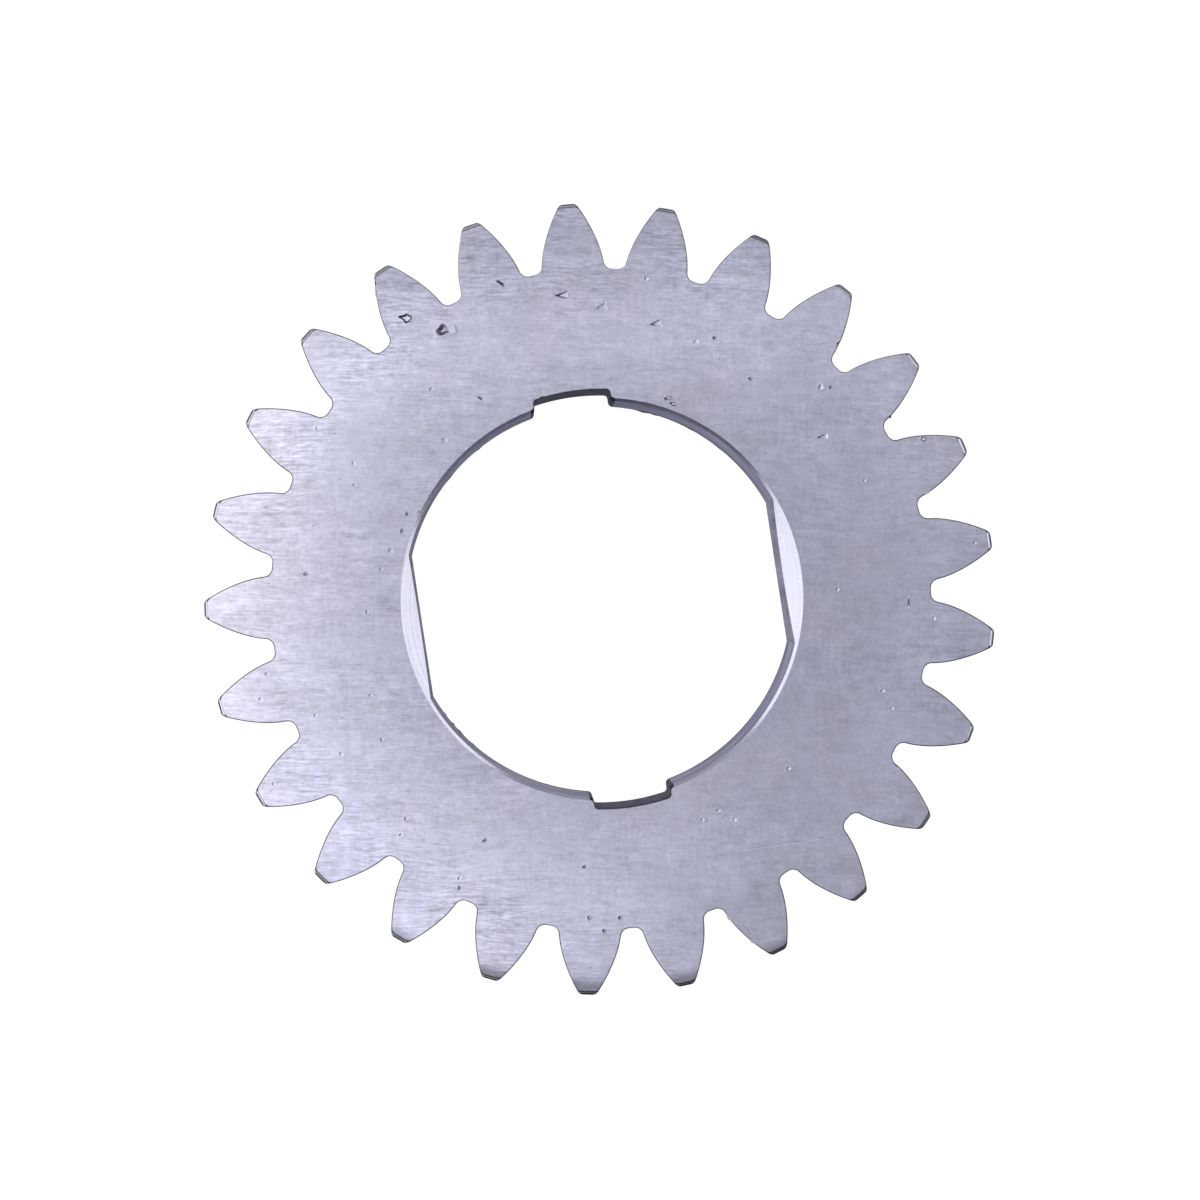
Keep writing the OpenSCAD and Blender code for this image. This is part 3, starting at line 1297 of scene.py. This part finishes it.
@dataclass
class DriveBore:
    """The bore with its two drive flats, its two notches and the lead-in on its front rim.

    The burrs on its rear rim hang below burr_top.
    """

    face_level: float
    wall_r: float = 23.65
    flat_x: float = 22.0
    notch_r: float = 25.0
    notch_x: float = 4.6
    notch_corner: float = 0.45
    mouth_corner: float = 0.6
    lead_in_r: float = 24.0
    edge_break: float = 0.08
    shoulder: float = 0.05
    burr_top: float = 0.4
    flat_steps: int = 16
    round_steps: int = 60
    mouth_steps: int = 5
    side_steps: int = 2
    corner_steps: int = 5
    floor_steps: int = 10
    burrs: tuple[Burr, ...] = BURRS

    def quarter(self, radius: float, flat_x: float, grown: float) -> np.ndarray:
        """One quarter of the outline, from the middle of a flat to the middle of a notch.

        Args:
            radius: Radius of the round part.
            flat_x: Distance of the flat from the axis. The round part's radius or more leaves no flat.
            grown: How far the notch is drawn into the steel.

        Returns:
            Pairs of X and Y.
        """
        flat_end = math.acos(self.flat_x / self.wall_r)
        mouth_r = self.mouth_corner - grown
        mouth_x = self.notch_x + self.mouth_corner
        mouth_y = math.sqrt((radius + mouth_r) ** 2 - mouth_x**2)
        mouth_start = math.atan2(mouth_y, mouth_x)
        turn = np.linspace(0, flat_end, self.flat_steps + 1)[:-1]
        flat = polar(np.minimum(radius, flat_x / np.cos(turn)), turn)
        round_turn = np.linspace(flat_end, mouth_start, self.round_steps + 1)
        round_start = min(radius, flat_x / math.cos(flat_end))
        round_part = polar(np.full(self.round_steps + 1, round_start), round_turn)
        round_part[1:] *= radius / np.hypot(*round_part[1:].T)[:, None]
        mouth_turn = np.linspace(mouth_start - math.pi, -math.pi, self.mouth_steps + 1)[1:]
        mouth = polar(np.full(self.mouth_steps, mouth_r), mouth_turn) + (mouth_x, mouth_y)
        corner_x = self.notch_x - self.notch_corner
        corner_y = math.sqrt((self.notch_r - self.notch_corner) ** 2 - corner_x**2)
        side_y = np.linspace(mouth_y, corner_y, self.side_steps + 1)[1:]
        side = np.column_stack([np.full(self.side_steps, self.notch_x + grown), side_y])
        floor_start = math.atan2(corner_y, corner_x)
        corner_turn = np.linspace(0, floor_start, self.corner_steps + 1)[1:]
        bend_r = np.full(self.corner_steps, self.notch_corner + grown)
        bend = polar(bend_r, corner_turn) + (corner_x, corner_y)
        floor_turn = np.linspace(floor_start, math.pi / 2, self.floor_steps + 1)[1:]
        floor = polar(np.full(self.floor_steps, self.notch_r + grown), floor_turn)
        return np.concatenate([flat, round_part, mouth, side, bend, floor])

    def zones(self) -> np.ndarray:
        """Zones on the wall of one quarter.

        Returns:
            Number of each quad's zone.
        """
        notch_steps = self.mouth_steps + self.side_steps + self.corner_steps + self.floor_steps
        steps = (self.flat_steps, self.round_steps, notch_steps)
        return np.repeat([int(Zone.DRIVE_FLAT), int(Zone.ROUND_WALL), int(Zone.NOTCH_WALL)], steps)

    def outline(self, radius: float, flat_x: float, grown: float) -> np.ndarray:
        """Closed outline of the bore, against the clock, from the middle of the flat on +X.

        Args:
            radius: Radius of the round part.
            flat_x: Distance of the flats from the axis. The round part's radius or more leaves no flats.
            grown: How far the notches are drawn into the steel.

        Returns:
            Pairs of X and Y.
        """
        first = self.quarter(radius, flat_x, grown)
        second = first[-2::-1] * (-1, 1)
        third = first[1:] * (-1, -1)
        fourth = first[-2:0:-1] * (1, -1)
        return np.concatenate([first, second, third, fourth])

    def wall_zones(self) -> np.ndarray:
        """Zone of each quad on the wall, all the way round."""
        first = self.zones()
        return np.concatenate([first, first[::-1], first, first[::-1]])

    def build(self, shell: Shell) -> tuple[np.ndarray, np.ndarray]:
        """Adds the skin of the bore.

        Args:
            shell: Skin to add to.

        Returns:
            Point numbers of the loops where the front face and the rear face start.
        """
        edge, back, no_flat = self.edge_break, self.edge_break + self.shoulder, 2 * self.wall_r
        notch_corner = Corner(3).arc((edge, 0), (0, 0), (0, edge))
        walls = self.wall_zones()
        on_cone = np.isin(walls, (Zone.DRIVE_FLAT, Zone.ROUND_WALL))
        broken = np.full(len(walls), int(Zone.BROKEN_EDGE))
        start = self.outline(self.lead_in_r + self.shoulder, no_flat, back)
        loops = [shell.add(raised(start, self.face_level))]
        strips = [np.full(len(walls), int(Zone.FRONT_FACE))]
        for grown, depth in notch_corner:
            flat = self.outline(self.lead_in_r - depth, no_flat, grown)
            loops.append(shell.add(raised(flat, self.face_level - depth)))
            strips.append(np.where(on_cone, int(Zone.LEAD_IN), broken))
        strips.pop()
        wall = self.outline(self.wall_r, self.flat_x, 0.0)
        beside_cone = on_cone | np.roll(on_cone, 1)
        depth = np.where(beside_cone, self.lead_in_r - np.hypot(*wall.T), self.lead_in_r - self.wall_r)
        loops.append(shell.add(raised(wall, self.face_level - depth)))
        strips.append(np.where(on_cone, int(Zone.LEAD_IN), walls))
        loops.append(shell.add(raised(self.ragged(wall, 0.0), self.burr_top)))
        for grown, height in reversed(Corner(3).arc((edge, 0), (0, 0), (0, edge))):
            flat = self.outline(self.wall_r + grown, self.flat_x + grown, grown)
            loops.append(shell.add(raised(self.ragged(flat, 1.0), height)))
        strips += [walls, walls, broken, broken, broken]
        rear = self.outline(self.wall_r + back, self.flat_x + back, back)
        loops.append(shell.add(raised(rear, 0.0)))
        strips.append(np.full(len(walls), int(Zone.REAR_FACE)))
        for above, below, zones in zip(loops, loops[1:], strips):
            shell.bridge(above, below, zones, outward=False)
        return loops[0], loops[-1]

    def ragged(self, flat: np.ndarray, share: float) -> np.ndarray:
        """A row near the rear rim, with the burrs drawn in toward the axis.

        Args:
            flat: Pairs of X and Y of the row.
            share: Share of each burr's size that this row takes.

        Returns:
            The moved pairs.
        """
        heading = np.degrees(np.arctan2(flat[:, 1], flat[:, 0]) + PICTURE_TURN)
        pull = np.zeros(len(flat))
        for burr in self.burrs:
            away = (heading - burr.heading + 180) % 360 - 180
            pull += share * burr.size * np.exp(-((away / burr.spread) ** 2))
        return flat * (1 - pull / np.hypot(*flat.T))[:, None]


@dataclass
class Wear:
    """The dents, scratches and edge nicks of the front face.

    Close points on a mark go out to spread times its half size, about fine millimetres apart. No other point
    lies within reach times its half size.
    """

    place: Callable[[Spot], np.ndarray]
    level: float
    marks: tuple[Mark, ...] = MARKS
    nicks: tuple[EdgeNick, ...] = NICKS
    spread: float = 1.75
    reach: float = 1.75 * 1.1
    fine: float = 0.10
    least_points: int = 13
    most_along: int = 60
    most_across: int = 24

    def axes(self, mark: Mark) -> tuple[np.ndarray, np.ndarray]:
        """Unit vectors along and across a mark."""
        along = np.array(way(mark.heading)[:2])
        return along, np.array([-along[1], along[0]])

    def local(self, mark: Mark, flat: np.ndarray) -> tuple[np.ndarray, np.ndarray]:
        """Places along and across a mark, from -1 to 1 inside it.

        Args:
            mark: Mark to measure from.
            flat: Pairs of X and Y.

        Returns:
            Places along the mark and across it.
        """
        along, across = self.axes(mark)
        away = flat - self.place(mark.spot)
        return away @ along / (mark.length / 2), away @ across / (mark.width / 2)

    def level_at(self, flat: np.ndarray) -> np.ndarray:
        """Height of the marked face.

        Args:
            flat: Pairs of X and Y.

        Returns:
            Height at each pair, in millimetres.
        """
        height = np.full(len(flat), self.level)
        for mark in self.marks:
            height += mark.height(*self.local(mark, flat))
        return np.minimum(height, self.level + HEADROOM)

    def near(self, marks: Sequence[Mark], flat: np.ndarray) -> np.ndarray:
        """Tells which points lie on or close round any of the marks.

        Args:
            marks: Marks to test.
            flat: Pairs of X and Y.

        Returns:
            True for each point near a mark.
        """
        found = np.zeros(len(flat), bool)
        for mark in marks:
            u, v = self.local(mark, flat)
            found |= (np.abs(u) < self.reach) & (np.abs(v) < self.reach)
        return found

    def fine_points(self) -> np.ndarray:
        """Close points on every mark.

        Returns:
            Pairs of X and Y.
        """
        every = []
        for i, mark in enumerate(self.marks):
            columns = int(np.clip(self.spread * mark.length / self.fine, self.least_points, self.most_along))
            rows = int(np.clip(self.spread * mark.width / self.fine, self.least_points, self.most_across))
            u, v = np.meshgrid(*(np.linspace(-self.spread, self.spread, count) for count in (columns, rows)))
            along, across = self.axes(mark)
            u_part = u.reshape(-1, 1) * along * mark.length / 2
            v_part = v.reshape(-1, 1) * across * mark.width / 2
            flat = self.place(mark.spot) + u_part + v_part
            every.append(flat[~self.near(self.marks[:i], flat)])
        return np.concatenate(every)

    def press(self, shell: Shell) -> None:
        """Presses the edge nicks into the skin.

        Args:
            shell: Skin whose points move.
        """
        for nick in self.nicks:
            ball = np.array([*self.place(nick.spot), self.level])
            for points in shell.points:
                away = points - ball
                reach = np.linalg.norm(away, axis=1, keepdims=True)
                points[:] = np.where(reach < nick.radius, ball + away / reach * nick.radius, points)


@dataclass
class DriveGear:
    """The whole gear: tooth ring, drive bore, the two ground faces and their wear.

    Coarse points on a face stand one grid apart, in rows. Margins are least distances from the face's edges.
    """

    ring: ToothRing
    bore: DriveBore
    wear: Wear
    grid: float = 1.1
    margin: float = 0.5
    fine_margin: float = 0.15

    def even_points(self) -> np.ndarray:
        """Even grid of points over the whole blank.

        Returns:
            Pairs of X and Y.
        """
        reach = self.ring.tip_r
        across = np.arange(-reach, reach, self.grid)
        rows = np.arange(-reach, reach, self.grid * math.sqrt(3) / 2)
        return np.array([(x + (i % 2) * self.grid / 2, y) for i, y in enumerate(rows) for x in across])

    @staticmethod
    def clear_of(flat: np.ndarray, outer: np.ndarray, inner: np.ndarray, margin: float) -> np.ndarray:
        """Keeps the points of a face that lie clear of its edges.

        Args:
            flat: Pairs of X and Y.
            outer: Outer loop of the face, as pairs of X and Y.
            inner: Inner loop of the face.
            margin: Least distance from either loop's points.

        Returns:
            The pairs that are kept.
        """
        flat = flat[within(flat, outer) & ~within(flat, inner)]
        rim = np.concatenate([outer, inner])
        nearest = np.array([np.min(np.hypot(*(rim - p).T)) for p in flat])
        return flat[nearest > margin]

    def build(self) -> bpy.types.Object:
        """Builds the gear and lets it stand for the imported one.

        Returns:
            The finished piece.
        """
        shell = Shell()
        outer_front, outer_rear = self.ring.build(shell)
        inner_front, inner_rear = self.bore.build(shell)
        self.wear.press(shell)
        every = np.concatenate(shell.points)[:, :2]
        even = self.even_points()
        front = self.clear_of(even, every[outer_front], every[inner_front], self.margin)
        front = front[~self.wear.near(self.wear.marks, front)]
        fine = self.wear.fine_points()
        fine = self.clear_of(fine, every[outer_front], every[inner_front], self.fine_margin)
        front = np.concatenate([front, fine])
        rear = self.clear_of(even, every[outer_rear], every[inner_rear], self.margin)
        shell.fill(outer_front, inner_front, front, self.wear.level_at, Zone.FRONT_FACE, upward=True)
        shell.fill(outer_rear, inner_rear, rear, rear_level, Zone.REAR_FACE, upward=False)
        piece = shell.build("drive_gear_steel", FINISHES)
        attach(piece, BODY)
        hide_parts(NODE)
        return piece


# Studio and camera


@dataclass(frozen=True)
class SoftLight:
    """A large rectangular light. A panel overhead looks straight down, and any other faces the gear.

    Lengths are in metres and angles in degrees, from the right of the picture, against the clock.
    """

    name: str
    heading: float
    distance: float
    height: float
    size: tuple[float, float]
    brightness: float
    overhead: bool = False
    turn: float = 0.0

    def build(self, aim: Vector) -> bpy.types.Object:
        """Adds the light.

        Args:
            aim: Point that it faces, in metres.

        Returns:
            The light's object.
        """
        data = bpy.data.lights.new(self.name, "AREA")
        data.shape = "RECTANGLE"
        data.size, data.size_y = self.size
        data.energy = self.brightness * math.pi * self.size[0] * self.size[1]
        made = linked(self.name, data)
        turn = math.radians(self.heading) - PICTURE_TURN
        away = (self.distance * math.cos(turn), self.distance * math.sin(turn), self.height)
        made.location = aim + Vector(away)
        if self.overhead:
            made.rotation_euler = (0, 0, math.radians(self.turn) - PICTURE_TURN)
        else:
            made.rotation_euler = (aim - made.location).to_track_quat("-Z", "Y").to_euler()
        return made


@dataclass
class Studio:
    """A plain pale floor under soft light. The horizon is dark, most of all toward the picture's bottom."""

    floor_size: float = 40.0
    floor_colour: tuple[float, float, float] = (0.10, 0.10, 0.10)
    floor_glow: float = 1.0
    dome: tuple[float, float, float] = (0.26, 0.26, 0.27)
    far_horizon: tuple[float, float, float] = (0.14, 0.14, 0.18)
    near_horizon: tuple[float, float, float] = (0.02, 0.02, 0.035)
    under: tuple[float, float, float] = (0.36, 0.36, 0.44)
    lights: tuple[SoftLight, ...] = (
        SoftLight("overhead_panel", 180, 0.50, 0.60, (1.0, 1.4), 1.30, overhead=True, turn=-14),
        SoftLight("left_light", 178, 0.75, 0.2, (1.2, 0.34), 1.05),
        SoftLight("right_light", 17, 0.75, 0.2, (1.2, 0.34), 1.2),
        SoftLight("far_light", 104, 0.9, 0.25, (1.3, 0.3), 0.28),
    )

    def build(self) -> None:
        """Adds the floor, the dome and the lights."""
        self.add_floor()
        self.add_dome()
        for light in self.lights:
            light.build(Vector((0, 0, 0)))
        bpy.context.scene.view_settings.view_transform = "Standard"

    def add_floor(self) -> None:
        """Adds the floor that the gear lies on."""
        half = self.floor_size / 2
        mesh = bpy.data.meshes.new("floor")
        corners = [(-half, -half, 0), (half, -half, 0), (half, half, 0), (-half, half, 0)]
        mesh.from_pydata(corners, [], [(0, 1, 2, 3)])
        material = bpy.data.materials.new("pale_floor")
        material.use_nodes = True
        graph = Graph(material.node_tree)
        inputs = {
            "Base Color": rgba(self.floor_colour),
            "Roughness": 0.9,
            "Emission Color": rgba((1.0, 1.0, 1.0)),
            "Emission Strength": self.floor_glow,
        }
        shader = graph.node("ShaderNodeBsdfPrincipled", None, inputs)
        graph.node("ShaderNodeOutputMaterial", None, {"Surface": shader})
        mesh.materials.append(material)
        floor = linked("floor", mesh)
        # Reflections look through the floor, so that steep walls mirror the light below it
        floor.visible_glossy = False

    def add_dome(self) -> None:
        """Adds the soft light from all round, darkest along the horizon."""
        world = bpy.data.worlds.new("dome")
        bpy.context.scene.world = world
        world.use_nodes = True
        graph = Graph(world.node_tree)
        view = graph.node("ShaderNodeTexCoord", output="Generated")
        rise = graph.along(view, (0.0, 0.0, 1.0))
        farness = graph.step(graph.along(view, way(90)), low=-0.8, high=0.2)
        horizon = graph.blend(farness, self.near_horizon, self.far_horizon)
        low = graph.blend(graph.step(rise, low=-0.2, high=-0.02), self.under, horizon)
        colour = graph.blend(graph.step(rise, low=0.1, high=0.6), low, self.dome)
        shader = graph.node("ShaderNodeBackground", None, {"Color": colour, "Strength": 1.0})
        graph.node("ShaderNodeOutputWorld", None, {"Surface": shader})


@dataclass
class PhotoCamera:
    """Camera that looks at the gear as the photograph does, in axes that are turned with the picture.

    The foot is where the line straight down from the camera meets the front face, in millimetres. The clips
    are the least and greatest distances that it sees, in metres.
    """

    front_face: float
    foot: tuple[float, float] = (-10.0, 0.59)
    height: float = 273.85
    tilt: float = math.radians(0.145)
    pan: float = math.radians(2.029)
    picture_size: float = 1200.0
    focal_pixels: float = 2300.95
    sensor: float = 36.0
    clips: tuple[float, float] = (0.01, 100.0)

    def basis(self) -> Matrix:
        """Axes of the camera in the picture's frame.

        Returns:
            Right, up and back, one column each.
        """
        across = math.cos(self.pan)
        lift = math.sin(self.pan)
        right = Vector((across, lift * math.sin(self.tilt), lift * math.cos(self.tilt)))
        up = Vector((0, math.cos(self.tilt), -math.sin(self.tilt)))
        return Matrix((right, up, right.cross(up))).transposed()

    def on_face(self, spot: Spot, level: float) -> np.ndarray:
        """Place on the part that shows at a spot of the picture.

        Args:
            spot: Pixel of the picture.
            level: Height of the surface above the rear face, in millimetres.

        Returns:
            X and Y on the part, in millimetres.
        """
        middle = self.picture_size / 2
        ray = self.basis() @ Vector((spot.across - middle, middle - spot.down, -self.focal_pixels))
        reach = (level - self.front_face - self.height) / ray.z
        hit = Vector((*self.foot, 0)) + ray * reach
        turned = Matrix.Rotation(-PICTURE_TURN, 2) @ Vector((hit.x, hit.y))
        return np.array(turned)

    def build(self) -> bpy.types.Object:
        """Adds the camera and makes it the scene's.

        Returns:
            The camera's object.
        """
        data = bpy.data.cameras.new("photo_camera")
        data.sensor_width = self.sensor
        data.lens = self.focal_pixels / self.picture_size * self.sensor
        data.clip_start, data.clip_end = self.clips
        spot = Vector((*self.foot, self.front_face + self.height)) * MM
        made = linked("photo_camera", data)
        turn = Matrix.Rotation(-PICTURE_TURN, 4, "Z")
        made.matrix_world = turn @ Matrix.Translation(spot) @ self.basis().to_4x4()
        bpy.context.scene.camera = made
        return made


def main() -> None:
    """Builds the gear, the studio and the camera, and reports each."""
    logging.basicConfig(level=logging.INFO, format="%(name)s: %(message)s")
    _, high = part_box(NODE)
    tip_r, thickness = high.x / MM, high.z / MM
    face_level = thickness - HEADROOM
    view = PhotoCamera(thickness)
    wear = Wear(lambda spot: view.on_face(spot, face_level), face_level)
    ring = ToothRing(tip_r, thickness, face_level)
    bore = DriveBore(face_level)
    piece = DriveGear(ring, bore, wear).build()
    log.info("%s: %d points, %d faces", piece.name, len(piece.data.vertices), len(piece.data.polygons))
    Studio().build()
    log.info("studio: floor, dome and lights")
    camera = view.build()
    log.info("%s: %.1f mm lens", camera.name, camera.data.lens)


if __name__ == "__main__":
    main()
